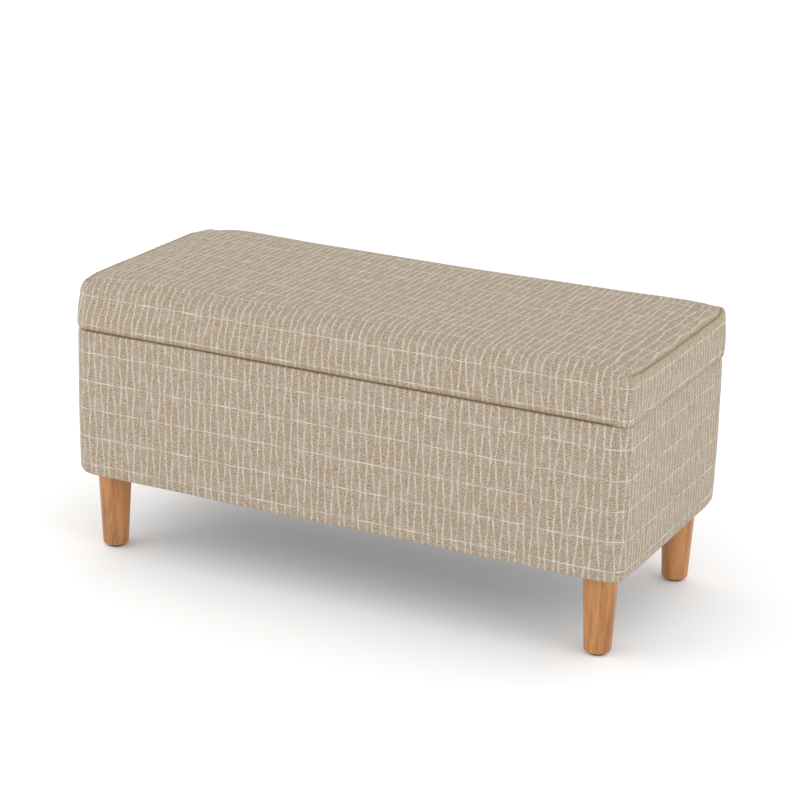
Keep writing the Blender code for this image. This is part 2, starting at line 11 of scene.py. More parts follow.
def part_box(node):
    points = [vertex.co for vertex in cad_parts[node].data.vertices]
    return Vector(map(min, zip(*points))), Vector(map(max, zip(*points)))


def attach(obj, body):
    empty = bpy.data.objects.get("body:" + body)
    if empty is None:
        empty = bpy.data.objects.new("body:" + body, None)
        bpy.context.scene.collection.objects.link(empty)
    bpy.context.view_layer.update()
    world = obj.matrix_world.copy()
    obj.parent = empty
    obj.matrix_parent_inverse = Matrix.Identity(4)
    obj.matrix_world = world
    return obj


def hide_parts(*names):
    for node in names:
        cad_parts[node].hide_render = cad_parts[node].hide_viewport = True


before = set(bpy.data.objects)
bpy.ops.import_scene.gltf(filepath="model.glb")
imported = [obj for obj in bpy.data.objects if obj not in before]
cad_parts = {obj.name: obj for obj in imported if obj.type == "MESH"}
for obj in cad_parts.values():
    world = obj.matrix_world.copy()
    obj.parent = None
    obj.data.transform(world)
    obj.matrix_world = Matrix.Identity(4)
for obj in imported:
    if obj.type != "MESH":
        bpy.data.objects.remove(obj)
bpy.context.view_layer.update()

RNG = np.random.default_rng(7)
CORNERS = ("front_left", "front_right", "back_left", "back_right")
HANDS = (("left", -1), ("right", 1))

# --- Places taken from the frame --------------------------------------

lid_low, lid_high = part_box("lid_cover")
body_low, body_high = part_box("body_cover")
lining_low, lining_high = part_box("storage_lining")
LID_X, LID_Y = lid_high.x, lid_high.y
BODY_X, BODY_Y = body_high.x, body_high.y
LID_Z, SEAT_Z = lid_low.z, lid_high.z
BODY_Z, RIM_Z = body_low.z, body_high.z

# The printed grid of the cloth: cross lines every ROW, and upright threads every THREAD.
ROW, THREAD = 0.0495, 0.0125
BODY_ROW_AT = RIM_Z - 0.036  # height of one cross line on the body
LID_ROW_AT = LID_Z + 0.0595  # and of the one that runs round the lid, just under its upper edge


# --- Node helpers -----------------------------------------------------


class Nodes:
    """Builds a Principled material from short calls. A value given as a number stays on its own socket."""

    def __init__(self, name, **sockets):
        self.material = bpy.data.materials.new(name)
        self.material.use_nodes = True
        self.tree = self.material.node_tree
        self.shader = self.tree.nodes["Principled BSDF"]
        for key, value in sockets.items():
            self.set(key.replace("_", " "), value)

    def set(self, socket, value):
        target = self.shader.inputs[socket]
        if isinstance(value, bpy.types.NodeSocket):
            self.tree.links.new(value, target)
        elif isinstance(value, tuple):
            target.default_value = (*value, 1)
        else:
            target.default_value = value

    def node(self, kind, output=0, settings=None, **inputs):
        made = self.tree.nodes.new(f"ShaderNode{kind}")
        for key, value in (settings or {}).items():
            setattr(made, key, value)
        for key, value in inputs.items():
            index = int(key[1:]) if key[0] == "i" and key[1:].isdigit() else key.replace("_", " ")
            self.feed(made.inputs[index], value)
        return made.outputs[output]

    def feed(self, target, value):
        if isinstance(value, bpy.types.NodeSocket):
            self.tree.links.new(value, target)
        elif isinstance(value, tuple) and target.type == "RGBA":
            target.default_value = (*value, 1)
        else:
            target.default_value = value

    def math(self, operation, a, b=0.0, c=0.0):
        return self.node("Math", settings={"operation": operation}, i0=a, i1=b, i2=c)

    def add(self, a, b):
        return self.math("ADD", a, b)

    def sub(self, a, b):
        return self.math("SUBTRACT", a, b)

    def mul(self, a, b):
        return self.math("MULTIPLY", a, b)

    def ramp(self, value, low, high, to_low=0.0, to_high=1.0):
        """Maps low..high to to_low..to_high with soft ends."""
        settings = {"interpolation_type": "SMOOTHSTEP"}
        return self.node("MapRange", settings=settings, i0=value, i1=low, i2=high, i3=to_low, i4=to_high)

    def mix(self, share, a, b):
        settings = {"data_type": "RGBA"}
        return self.node("Mix", 2, settings, i0=share, i6=a, i7=b)

    def place(self, x=0.0, y=0.0, z=0.0):
        return self.node("CombineXYZ", X=x, Y=y, Z=z)

    def noise(self, vector, scale, detail=2.0, roughness=0.5):
        return self.node("TexNoise", Vector=vector, Scale=scale, Detail=detail, Roughness=roughness)

    def random(self, x, y, z=0.0):
        return self.node("TexWhiteNoise", settings={"noise_dimensions": "3D"}, Vector=self.place(x, y, z))

    def position(self):
        """Where the surface is on its own piece, in metres."""
        return self.node("TexCoord", 3)

    def bump(self, height, distance, strength):
        return self.node("Bump", Height=height, Distance=distance, Strength=strength)


# --- Materials --------------------------------------------------------


def herringbone(n, s, t, column=7.0, pitch=3.3, slope=0.7):
    """Ribs of a herringbone twill, 0 to 1, with s across and t along the cloth in millimetres."""
    zigzag = n.mul(n.math("PINGPONG", s, column), slope)
    return n.math("MULTIPLY_ADD", n.math("SINE", n.mul(n.add(t, zigzag), 2 * math.pi / pitch)), 0.5, 0.5)


def upholstery_cloth():
    """Tan herringbone cloth with slubby cream threads that lean together and apart between cross lines."""
    finish = {"Sheen_Weight": 0.06, "Sheen_Roughness": 0.45, "Specular_IOR_Level": 0.12}
    n = Nodes("ottoman_cloth", Roughness=0.90, **finish)
    weave = n.node("UVMap", settings={"uv_map": "cloth"})
    u, v = (n.node("SeparateXYZ", i, Vector=weave) for i in (0, 1))
    s, t = n.mul(u, 1000), n.mul(v, 1000)

    # Threads wander a little, and swell and thin along their length.
    wander = n.mul(n.sub(n.noise(n.place(n.mul(s, 0.4), t), 0.075, 3.0, 0.65), 0.5), 3.6)
    row = n.math("DIVIDE", t, ROW * 1000)
    row_index, along = n.math("FLOOR", row), n.math("FRACT", row)
    thread = n.math("DIVIDE", n.add(s, wander), THREAD * 1000)
    index = n.math("FLOOR", n.add(thread, 0.5))
    ends = []
    for step in (0, 1):
        here = n.add(row_index, step)
        lean = n.math("MULTIPLY_ADD", n.math("PINGPONG", n.add(index, here), 1.0), 2.0, -1.0)
        reach = n.math("MULTIPLY_ADD", n.random(index, here), 0.17, 0.07)
        ends.append(n.mul(lean, reach))
    middle = n.add(n.mul(ends[0], n.sub(1.0, along)), n.mul(ends[1], along))
    ragged = n.noise(n.place(n.mul(s, 0.35), n.mul(t, 0.55), 1.0), 1.0, 3.0, 0.65)
    off = n.mul(n.math("ABSOLUTE", n.sub(n.sub(thread, index), middle)), THREAD * 1000)
    off = n.add(off, n.mul(n.sub(ragged, 0.5), 5.5))
    swell = n.noise(n.place(n.mul(index, 31.7), n.mul(t, 0.13)), 1.0, 1.0)
    width = n.math("MULTIPLY_ADD", swell, 2.0, 0.50)
    upright = n.ramp(off, n.add(width, 0.9), n.mul(width, 0.3))
    fade = n.noise(n.place(n.mul(index, 17.3), n.mul(t, 0.05), 5.0), 1.0, 1.0)
    upright = n.mul(upright, n.ramp(fade, 0.30, 0.60, 0.35, 0.88))

    drift = n.mul(n.sub(n.noise(n.place(n.mul(s, 0.02), n.mul(row_index, 3.1)), 1.0), 0.5), 2.4)
    from_line = n.math("PINGPONG", n.add(t, drift), ROW * 500)
    thin = n.math("MULTIPLY_ADD", n.noise(n.place(n.mul(s, 0.06), n.mul(row_index, 9.0)), 1.0), 1.6, 0.30)
    cross = n.ramp(from_line, n.add(thin, 0.5), n.mul(thin, 0.4))
    fade = n.noise(n.place(n.mul(s, 0.03), n.mul(row_index, 7.7), 2.0), 1.0, 1.0)
    cross = n.mul(cross, n.ramp(fade, 0.36, 0.64, 0.14, 0.88))

    twill = herringbone(n, s, t)
    yarn = n.noise(n.place(n.mul(s, 0.42), n.mul(t, 0.60)), 0.9, 2.0, 0.75)
    slub = n.noise(n.place(n.mul(s, 0.22), n.mul(t, 0.24), 3.0), 1.0, 3.0, 0.75)
    weft = n.noise(n.place(n.mul(s, 0.07), n.mul(t, 0.45), 8.0), 1.0, 2.0, 0.6)
    patches = n.noise(n.place(n.mul(s, 0.8), t), 0.045, 4.0, 0.6)
    tone = n.add(n.add(n.mul(twill, 0.15), n.mul(yarn, 0.45)), n.add(n.mul(slub, 0.26), n.mul(weft, 0.14)))
    ground = n.mix(n.ramp(tone, 0.40, 0.60), (0.205, 0.146, 0.090), (0.556, 0.471, 0.374))
    ground = n.mix(n.ramp(patches, 0.50, 0.66, 0.0, 0.26), ground, (0.50, 0.46, 0.42))
    ground = n.mix(n.ramp(patches, 0.48, 0.34, 0.0, 0.20), ground, (0.34, 0.25, 0.14))
    broken = n.ramp(n.add(n.mul(twill, 0.25), n.mul(yarn, 0.75)), 0.38, 0.58, 0.35, 1.0)
    colour = n.mix(n.mul(upright, broken), ground, (0.722, 0.655, 0.562))
    colour = n.mix(n.mul(cross, n.math("MULTIPLY_ADD", broken, 0.75, 0.25)), colour, (0.765, 0.706, 0.628))
    # Painted shade: a value on each point darkens the cloth to brown, near black where it is highest, in the
    # seams' grooves and in the gap between lid and body.
    painted_shade = n.node("Attribute", 2, settings={"attribute_name": "painted_shade"})
    shade = n.mix(n.ramp(painted_shade, 0.55, 0.95), (0.300, 0.205, 0.085), (0.030, 0.018, 0.006))
    colour = n.mix(painted_shade, colour, shade)

    # Small tucks where the cloth is gathered onto a seam: raised by the bump, and with their crests painted
    # lighter, a painted highlight.
    gathered = n.node("Attribute", 2, settings={"attribute_name": "gathered"})
    bend = n.mul(n.noise(n.place(n.mul(s, 0.09), n.mul(t, 0.09), 11.0), 1.0, 2.0), 9.0)
    tucks_and_highlight = n.math("SINE", n.mul(n.add(n.add(s, n.mul(t, 0.8)), bend), 2 * math.pi / 4.4))
    tucks_and_highlight = n.mul(gathered, n.ramp(tucks_and_highlight, -0.1, 0.9))
    colour = n.mix(n.mul(tucks_and_highlight, 0.70), colour, (0.640, 0.550, 0.420))
    n.set("Base Color", colour)
    relief = n.add(n.add(n.mul(twill, 0.6), n.mul(yarn, 0.4)), n.mul(n.add(upright, cross), 0.5))
    n.set("Normal", n.bump(n.add(relief, n.mul(tucks_and_highlight, 1.6)), 0.0008, 0.6))
    return n.material


def leg_wood():
    """Honey-stained rubberwood: long straight grain, darker pores, and a thin satin lacquer."""
    n = Nodes("leg_wood", Roughness=0.42, Coat_Weight=0.15, Coat_Roughness=0.25, Specular_IOR_Level=0.4)
    place = n.position()
    x, y, z = (n.node("SeparateXYZ", i, Vector=place) for i in range(3))
    warp = n.mul(n.sub(n.noise(place, 9.0, 2.0), 0.5), 0.012)
    stretched = n.place(n.add(x, warp), n.add(y, warp), n.mul(z, 0.05))
    grain = n.noise(stretched, 260.0, 4.0, 0.6)
    bands = n.noise(n.place(n.add(x, warp), y, n.mul(z, 0.09)), 60.0, 3.0, 0.55)
    pores = n.noise(n.place(x, y, n.mul(z, 0.02)), 900.0, 2.0, 0.5)
    colour = n.mix(n.ramp(bands, 0.30, 0.70), (0.315, 0.120, 0.034), (0.540, 0.245, 0.080))
    colour = n.mix(n.ramp(grain, 0.42, 0.68, 0.0, 0.45), colour, (0.590, 0.300, 0.115))
    colour = n.mix(n.ramp(pores, 0.56, 0.72, 0.0, 0.55), colour, (0.190, 0.078, 0.026))
    n.set("Base Color", colour)
    n.set("Roughness", n.ramp(grain, 0.3, 0.7, 0.36, 0.50))
    n.set("Normal", n.bump(n.sub(grain, n.mul(pores, 0.5)), 0.0004, 0.25))
    return n.material


def raw_wood(name, light, dark, layers=0.0):
    """Unfinished board: flat-sawn figure, and thin dark glue lines where layers is a ply's thickness."""
    n = Nodes(name, Roughness=0.72, Specular_IOR_Level=0.3)
    place = n.position()
    x, y, z = (n.node("SeparateXYZ", i, Vector=place) for i in range(3))
    figure = n.noise(n.place(n.mul(x, 0.12), y, z), 55.0, 4.0, 0.6)
    fibre = n.noise(n.place(n.mul(x, 0.03), y, z), 420.0, 2.0, 0.5)
    colour = n.mix(n.ramp(n.add(n.mul(figure, 0.7), n.mul(fibre, 0.3)), 0.35, 0.65), dark, light)
    if layers:
        ply = n.math("PINGPONG", z, layers)
        colour = n.mix(n.ramp(ply, 0.0, layers * 0.12, 0.35, 0.0), colour, (0.20, 0.12, 0.06))
    n.set("Base Color", colour)
    n.set("Normal", n.bump(fibre, 0.0004, 0.4))
    return n.material


def felted(name, light, dark, scale=900.0, dimples=0.0):
    """Pressed fibres, with the point-bonded dimples of spun cloth if their spacing is given."""
    n = Nodes(name, Roughness=0.95, Sheen_Weight=0.08, Sheen_Roughness=0.5, Specular_IOR_Level=0.2)
    place = n.position()
    fibres = n.noise(place, scale, 3.0, 0.7)
    clouds = n.noise(place, 22.0, 2.0)
    height = fibres
    tone = n.add(n.mul(fibres, 0.6), n.mul(clouds, 0.4))
    if dimples:
        grid = {"Vector": place, "Scale": 1 / dimples, "Randomness": 0.15}
        cells = n.node("TexVoronoi", settings={"feature": "F1"}, **grid)
        bonded = n.ramp(cells, 0.18, 0.30)
        tone = n.mul(tone, n.math("MULTIPLY_ADD", bonded, 0.2, 0.8))
        height = n.add(n.mul(fibres, 0.3), bonded)
    n.set("Base Color", n.mix(n.ramp(tone, 0.3, 0.7), dark, light))
    n.set("Normal", n.bump(height, 0.0005, 0.5))
    return n.material


def steel(name, light, dark, roughness, brushed=(1.0, 1.0, 0.06)):
    """Plated steel with faint drawing lines, dulled in patches and rubbed brighter."""
    n = Nodes(name, Metallic=1.0, Specular_IOR_Level=0.5)
    place = n.position()
    x, y, z = (n.mul(n.node("SeparateXYZ", i, Vector=place), share) for i, share in enumerate(brushed))
    lines = n.noise(n.place(x, y, z), 1500.0, 2.0)
    clouds = n.noise(place, 45.0, 3.0)
    n.set("Base Color", n.mix(n.ramp(clouds, 0.35, 0.7), dark, light))
    low, high = roughness
    n.set("Roughness", n.ramp(n.add(n.mul(lines, 0.4), n.mul(clouds, 0.6)), 0.35, 0.65, low, high))
    n.set("Normal", n.bump(lines, 0.0001, 0.25))
    return n.material


def moulded_plastic():
    n = Nodes("glide_plastic", Specular_IOR_Level=0.4)
    place = n.position()
    grain, scuffs = n.noise(place, 1400.0, 3.0), n.noise(place, 120.0, 3.0)
    n.set("Base Color", n.mix(n.ramp(scuffs, 0.45, 0.7), (0.032, 0.028, 0.025), (0.075, 0.068, 0.060)))
    n.set("Roughness", n.ramp(scuffs, 0.4, 0.7, 0.42, 0.62))
    n.set("Normal", n.bump(grain, 0.0002, 0.3))
    return n.material


CLOTH = upholstery_cloth()
WOOD = leg_wood()
PLYWOOD = raw_wood("plywood", (0.62, 0.45, 0.27), (0.44, 0.29, 0.16), layers=0.0024)
PINE = raw_wood("pine", (0.70, 0.52, 0.31), (0.55, 0.36, 0.18))
LINING = felted("lining_cloth", (0.085, 0.075, 0.064), (0.050, 0.044, 0.038), dimples=0.0022)
DUST_CLOTH = felted("dust_cloth", (0.030, 0.030, 0.031), (0.014, 0.014, 0.015), dimples=0.0018)
FELT = felted("felt", (0.36, 0.29, 0.22), (0.20, 0.155, 0.115), scale=1400.0)
ZINC = steel("zinc_plate", (0.74, 0.74, 0.72), (0.52, 0.52, 0.52), (0.26, 0.42))
STAPLE_WIRE = steel("staple_wire", (0.66, 0.66, 0.67), (0.48, 0.48, 0.50), (0.22, 0.36))
PLASTIC = moulded_plastic()

FRAME_MATERIALS = {
    "panel": (PLYWOOD, "plywood"),
    "lid_board": (PLYWOOD, "plywood"),
    "corner_block": (PINE, "pine"),
    "hanger_bolt": (ZINC, "zinc_steel"),
    "tee_nut": (ZINC, "zinc_steel"),
    "hinge": (ZINC, "zinc_steel"),
    "stay": (ZINC, "zinc_steel"),
    "glide": (PLASTIC, "plastic"),
    "rim_bumper": (FELT, "felt"),
}


# --- Making objects ---------------------------------------------------


def linked(name, data):
    made = bpy.data.objects.new(name, data)
    bpy.context.scene.collection.objects.link(made)
    return made


def skin(bm, rings):
    """Closes a solid over rings of vertices, with a cap at each end."""
    for lower, upper in zip(rings, rings[1:]):
        for i in range(len(lower)):
            j = (i + 1) % len(lower)
            bm.faces.new((lower[i], lower[j], upper[j], upper[i]))
    bm.faces.new(rings[0][::-1])
    bm.faces.new(rings[-1])


def smooth_piece(name, bm, material, sharp=None):
    """An object with the mesh in bm, shaded smooth but for edges sharper than so many degrees."""
    mesh = bpy.data.meshes.new(name)
    bm.to_mesh(mesh)
    bm.free()
    mesh.materials.append(material)
    mesh.shade_smooth()
    if sharp:
        mesh.set_sharp_from_angle(angle=math.radians(sharp))
    return linked(name, mesh)


# --- Sewn shells: rings of cloth, split into panels at four upright lin


class Shell:
    """A sheet of cloth made of grids that share vertices, each with its own run of the cloth's pattern."""

    def __init__(self):
        self.points, self.faces, self.cloth, self.count = [], [], [], 0

    def add_points(self, points):
        start = self.count
        self.points.append(np.asarray(points, float))
        self.count += len(points)
        return np.arange(start, self.count)

    def add_grid(self, index, u, v):
        """Faces over a grid of vertex numbers, with the cloth's coordinates at each."""
        cloth = np.stack([u, v], axis=-1)
        corners = [(slice(None, -1), slice(None, -1)), (slice(None, -1), slice(1, None))]
        corners += [(slice(1, None), slice(1, None)), (slice(1, None), slice(None, -1))]
        self.faces.append(np.stack([index[c] for c in corners], axis=-1).reshape(-1, 4))
        self.cloth.append(np.stack([cloth[c] for c in corners], axis=-2).reshape(-1, 2))

    def coordinates(self):
        return np.concatenate(self.points)

    def build(self, name, material, points=None):
        mesh = bpy.data.meshes.new(name)
        points = self.coordinates() if points is None else points
        mesh.from_pydata(points.tolist(), [], np.concatenate(self.faces).tolist())
        layer = mesh.uv_layers.new(name="cloth")
        layer.data.foreach_set("uv", np.concatenate(self.cloth).astype(np.float32).ravel())
        mesh.materials.append(material)
        mesh.shade_smooth()
        return linked(name, mesh)


def eased(count, power=1.0):
    """0 to 1 in count steps, closer together near 0 as the power grows."""
    return (np.arange(count + 1) / count) ** power


def spaced(run, fine, coarse, zone=0.060):
    """Fractions along a run, fine steps apart at both ends and growing to coarse ones within the zone."""
    places = [0.0]
    while places[-1] < run / 2:
        share = min(places[-1] / zone, 1)
        places.append(places[-1] + fine + (coarse - fine) * share * share * (3 - 2 * share))
    half = np.array(places) / places[-1] / 2
    return np.concatenate([half, 1 - half[-2::-1]])


def run_lengths(points):
    """Distance along a line of points, from its first."""
    steps = np.linalg.norm(np.diff(points, axis=0), axis=1)
    return np.concatenate([[0], np.cumsum(steps)])


class Outline:
    """Stations round a rounded rectangle, anticlockwise from the front, in four sides.

    The sides meet on the corners' arcs: the front and back turn split degrees round each corner. Each
    station keeps its place as the rectangle shrinks, so stations of different insets join up into clean
    loops of cloth."""

    def __init__(self, half_x, half_y, split, arc_steps, fine, coarse, radius=0.020):
        self.half = np.array([half_x, half_y])
        signs, normals, self.columns = [], [], []
        for k in range(4):
            own = split if k % 2 == 0 else 90 - split
            middle = 270 + 90 * k
            turn = math.radians(middle)
            outward = np.array([math.cos(turn), math.sin(turn)])
            along = np.array([-outward[1], outward[0]])
            share = eased(arc_steps, 1.5)
            lead = np.radians(middle - own + own * share)
            tail = np.radians(middle + own - own * share[::-1])
            way = spaced(2 * (self.half[k % 2] - radius), fine, coarse)[1:-1, None]
            flat = (1 - way) * (outward - along) + way * (outward + along)
            side = [np.tile(outward - along, (len(lead), 1)), flat, np.tile(outward + along, (len(tail), 1))]
            facing = [np.stack([np.cos(lead), np.sin(lead)], 1), np.tile(outward, (len(flat), 1))]
            facing.append(np.stack([np.cos(tail), np.sin(tail)], 1))
            signs.append(np.concatenate(side)[:-1])
            normals.append(np.concatenate(facing)[:-1])
            self.columns.append(len(signs[-1]))
        self.signs, self.normals = np.round(np.concatenate(signs), 12), np.concatenate(normals)
        self.around = len(self.signs)
        starts = np.cumsum([0, *self.columns[:-1]])
        self.columns = [(a + np.arange(n + 1)) % self.around for a, n in zip(starts, self.columns)]
        ring = self.ring(0, radius)
        spots = self.half - (1 - math.sqrt(0.5)) * radius
        corners = [np.linalg.norm(ring - spots * (a, b), axis=1) for a in (-1, 1) for b in (-1, 1)]
        self.from_corner = np.min(corners, axis=0)
        share = np.clip((np.abs(self.normals[:, 0]) - 0.15) / 0.7, 0, 1)
        self.on_end = share * share * (3 - 2 * share)

    def ring(self, inset, radius):
        """Plan positions at an inset from the outer faces. The radius is the outer corner's."""
        inset = np.broadcast_to(inset, self.around)[:, None]
        left = np.maximum(np.broadcast_to(radius, self.around)[:, None] - inset, 0.004)
        return self.signs * (self.half - inset - left) + self.normals * left


def add_strips(shell, outline, rows, anchor, zero, shifts=(0, 0, 0, 0)):
    """Adds the four sides through rows of (inset, radius, z).

    The cloth's v is the height at the anchor row, less zero."""
    rows = [[np.broadcast_to(value, outline.around).astype(float) for value in row] for row in rows]
    plans = [outline.ring(inset, radius) for inset, radius, _ in rows]
    index = np.array([shell.add_points(np.column_stack([plan, row[2]])) for plan, row in zip(plans, rows)])
    profile = np.array([[row[0], row[2]] for row in rows])
    steps = np.linalg.norm(np.diff(profile, axis=0), axis=1)
    v = np.concatenate([np.zeros((1, outline.around)), np.cumsum(steps, axis=0)])
    v = v - v[anchor] + rows[anchor][2] - zero
    made = []
    for columns, shift in zip(outline.columns, shifts):
        u = run_lengths(plans[anchor][columns])
        u = u - u[-1] / 2 + shift
        shell.add_grid(index[:, columns], *np.broadcast_arrays(u[None, :], v[:, columns]))
        made.append((index[:, columns], u, v[:, columns]))
    return made


def add_cap(shell, sides, height, settle=0.010):
    """Fills the last loop with a grid at height(plan), eased to the loop's own heights along its edge."""
    points = shell.coordinates()
    front, right, back, left = (side[0][-1] for side in sides)
    back, left = back[::-1], left[::-1]
    f, b, r, l = (points[i] for i in (front, back, right, left))
    s_ = ((f[:, 0] - f[0, 0]) / (f[-1, 0] - f[0, 0]))[None, :, None]
    t_ = ((r[:, 1] - r[0, 1]) / (r[-1, 1] - r[0, 1]))[:, None, None]

    def coons(f, b, l, r, s, t):
        corner = (1 - s) * (1 - t) * f[0] + s * (1 - t) * f[-1] + (1 - s) * t * b[0] + s * t * b[-1]
        return (1 - t) * f[None] + t * b[None] + (1 - s) * l[:, None] + s * r[:, None] - corner

    plan = coons(f[:, :2], b[:, :2], l[:, :2], r[:, :2], s_, t_)
    x, y = plan[..., 0], plan[..., 1]
    away = (y - f[None, :, 1], y - b[None, :, 1], x - l[:, None, 0], x - r[:, None, 0])
    near = [np.exp(-np.abs(distance) / settle) for distance in away]
    over = [line[:, 2] - height(line[:, :2]) for line in (f, b, l, r)]
    z = height(plan.reshape(-1, 2)).reshape(plan.shape[:2])
    z = z + near[0] * over[0][None] + near[1] * over[1][None]
    z = z + near[2] * over[2][:, None] + near[3] * over[3][:, None]
    z -= near[0] * (near[2] * over[0][0] + near[3] * over[0][-1])
    z -= near[1] * (near[2] * over[1][0] + near[3] * over[1][-1])
    inside = np.dstack([plan, z])[1:-1, 1:-1]
    index = np.empty(plan.shape[:2], int)
    index[0], index[-1], index[:, 0], index[:, -1] = front, back, left, right
    index[1:-1, 1:-1] = shell.add_points(inside.reshape(-1, 3)).reshape(inside.shape[:2])
    u = np.broadcast_to(sides[0][1][None, :], z.shape)
    v = sides[0][2][-1][None, :] + plan[..., 1] - plan[:1, :, 1]
    shell.add_grid(index, u, v)


def quarter(radius, steps, power=1.0):
    """Sideways and upward travel over a quarter turn."""
    angle = np.radians(90) * eased(steps, power)
    return radius * (1 - np.cos(angle)), radius * np.sin(angle)


def mix(a, b, share):
    return a + (b - a) * share


def near_corner(outline, reach):
    return np.exp(-((outline.from_corner / reach) ** 2))


# --- Lid cover --------------------------------------------------------

ROLL, HEM = 0.023, 0.040  # soft upper edge at the front; cloth turned in under the board
SEAM_INSET, SEAM_DIP = (0.0058, 0.0110), (0.0112, 0.0046)  # right and left end seams, in and below
PILLOW = (0.0125, 0.015)  # how far the seat rounds over above them
UNDER_SAG = 0.0011  # the cover's underside hangs this far below the board's
SWELL_LIMIT, SWELL_FRAMES = 0.003, 20


def by_end(values, side):
    """A value for the right end (side 1) or the left (side -1), and in between along the length."""
    return values[0] + (values[1] - values[0]) * (1 - side) / 2


def seat_height(plan):
    """The seat's slight crown, and its pillowed fall to the end seams."""
    side = np.clip(plan[:, 0] / 0.35, -1, 1)
    from_seam = np.clip(LID_X - by_end(SEAM_INSET, side) - np.abs(plan[:, 0]), 0, None)
    fall = by_end(SEAM_DIP, side) * np.clip(1 - from_seam / by_end(PILLOW, side), 0, 1) ** 2
    return SEAT_Z + 0.0004 - 0.0018 * (np.abs(plan[:, 1]) / LID_Y) ** 4 - fall


def lid_shell(arc_steps, fine, coarse, step):
    """The lid's cover: hem under the board, sides, rolled upper edge and seat. step multiplies the rows."""
    shell = Shell()
    outline = Outline(LID_X, LID_Y, 45, arc_steps, fine, coarse)
    end, corner = outline.on_end, near_corner(outline, 0.026)
    front_right = (outline.signs[:, 0] > 0) * (outline.signs[:, 1] < 0)
    crisp = np.exp(-((outline.from_corner / 0.12) ** 4)) * front_right
    right = np.clip(outline.signs[:, 0] * 3, 0, 1)
    below = mix(mix(0.032, 0.024, right), 0.018, crisp)
    above = mix(mix(0.046, 0.030, right), 0.022, crisp)
    low = LID_Z - UNDER_SAG
    edge, rows = mix(0.0030, 0.0028, end), []
    for share in np.linspace(1, 0, 4 * step + 1)[:-1]:
        rows.append((mix(edge, HEM, share), below, low))
    for out, rise in zip(*(travel[::-1] for travel in quarter(1, 3 * step))):
        rows.append((edge * out + 0.0006, below, low + edge * (1 - rise)))
    side = np.clip(outline.signs[:, 0] * 2, -1, 1)
    inset, dip = by_end(SEAM_INSET, side), by_end(SEAM_DIP, side)

    def blended(front, ends, corners, sharp_corner):
        return mix(mix(mix(front, ends, end), corners, corner), sharp_corner, crisp * corner)

    top_inset = blended(ROLL, inset - 0.0020, 0.0115 - 0.0035 * right, 0.0045)
    top = SEAT_Z - blended(0.0010, dip - 0.0004, 0.0072 - 0.0025 * right, 0.0080)
    tall = blended(ROLL, mix(0.0120, 0.0065, right), 0.0170, 0.0085)
    start = top - tall
    for share in np.linspace(0, 1, 5 * step + 1)[1:-1]:
        belly = 0.0006 - 0.0018 * math.sin(math.pi * share) ** 0.8
        rows.append((belly, mix(below, above, share), mix(low + edge, start, share)))
    anchor = len(rows) - 1
    for angle in np.radians(90) * np.linspace(0, 1, 7 * step + 1):
        rows.append((top_inset * (1 - math.cos(angle)), above, start + tall * math.sin(angle)))
    for share in (0.35, 0.7, 1.0):
        drop = 0.0004 * end * (1 - 0.8 * corner) * share**1.5
        rows.append((np.maximum(top_inset + 0.0012 * share, inset * end * share), above, top - drop))
    sides = add_strips(shell, outline, rows, anchor, LID_ROW_AT, (0, 2.137, 0, 4.391))
    add_cap(shell, sides, seat_height)
    shell.sides = sides
    return shell


def seam_lines(shell):
    """Vertex numbers along each sewn seam: up the four corners, and over the top of each end."""
    lines = []
    for k in (1, 3):
        index = shell.sides[k][0]
        lines += [index[:, 0], index[-1], index[::-1, -1]]
    return lines


def relaxed_lid(coarse):
    """Swells a coarse cover with even pressure between its pinned seams. Returns each point's movement.

    There is no foam under it to push against, so left alone it swells far too much (about 10 mm, and
    40 mm at most). The limit sets most of the result, and the cloth's own shape only a little."""
    rest = coarse.coordinates()
    piece = coarse.build("lid_cloth_sim", CLOTH)
    pins = piece.vertex_groups.new(name="pins")
    pins.add(np.nonzero(rest[:, 2] < LID_Z + 0.007)[0].tolist(), 1.0, "REPLACE")
    for line in seam_lines(coarse):
        pins.add(line.tolist(), 1.0, "REPLACE")
    cloth = piece.modifiers.new("cloth", "CLOTH")
    settings = cloth.settings
    settings.quality = 6
    settings.mass = 0.25
    settings.tension_stiffness = settings.compression_stiffness = 12
    settings.shear_stiffness = 6
    settings.bending_stiffness = 1.2
    settings.use_pressure = True
    settings.uniform_pressure_force = 1.2
    settings.vertex_group_mass = "pins"
    settings.effector_weights.gravity = 0
    cloth.collision_settings.use_collision = False
    cloth.collision_settings.use_self_collision = False
    scene = bpy.context.scene
    cloth.point_cache.frame_start, cloth.point_cache.frame_end = 1, SWELL_FRAMES
    for number in range(1, SWELL_FRAMES + 1):
        scene.frame_set(number)
    evaluated = piece.evaluated_get(bpy.context.evaluated_depsgraph_get())
    moved = np.empty(len(rest) * 3, np.float32)
    evaluated.data.vertices.foreach_get("co", moved)
    scene.frame_set(1)
    bpy.data.objects.remove(piece)
    move = moved.reshape(-1, 3) - rest
    size = np.linalg.norm(move, axis=1, keepdims=True)
    print("lid cloth moved, mm: mean", (size.mean() * 1000).round(2), "most", (size.max() * 1000).round(2))
    return move * (SWELL_LIMIT * np.tanh(size / SWELL_LIMIT) / np.maximum(size, 1e-9))


def spread(values, known, wanted, near=5):
    """Carries values from known points to wanted ones, weighted by closeness."""
    tree = kdtree.KDTree(len(known))
    for i, point in enumerate(known):
        tree.insert(point, i)
    tree.balance()
    out = np.empty((len(wanted), 3))
    for i, point in enumerate(wanted):
        found = tree.find_n(point, near)
        weights = np.array([1 / (d + 0.0005) ** 2 for _, _, d in found])
        out[i] = (values[[j for _, j, _ in found]] * weights[:, None]).sum(0) / weights.sum()
    return out


def vertex_normals(shell, points):
    faces = np.concatenate(shell.faces)
    a, b, c, d = (points[faces[:, i]] for i in range(4))
    face_normals = np.cross(c - a, d - b)
    normals = np.zeros_like(points)
    for i in range(4):
        np.add.at(normals, faces[:, i], face_normals)
    return normals / np.maximum(np.linalg.norm(normals, axis=1, keepdims=True), 1e-12)


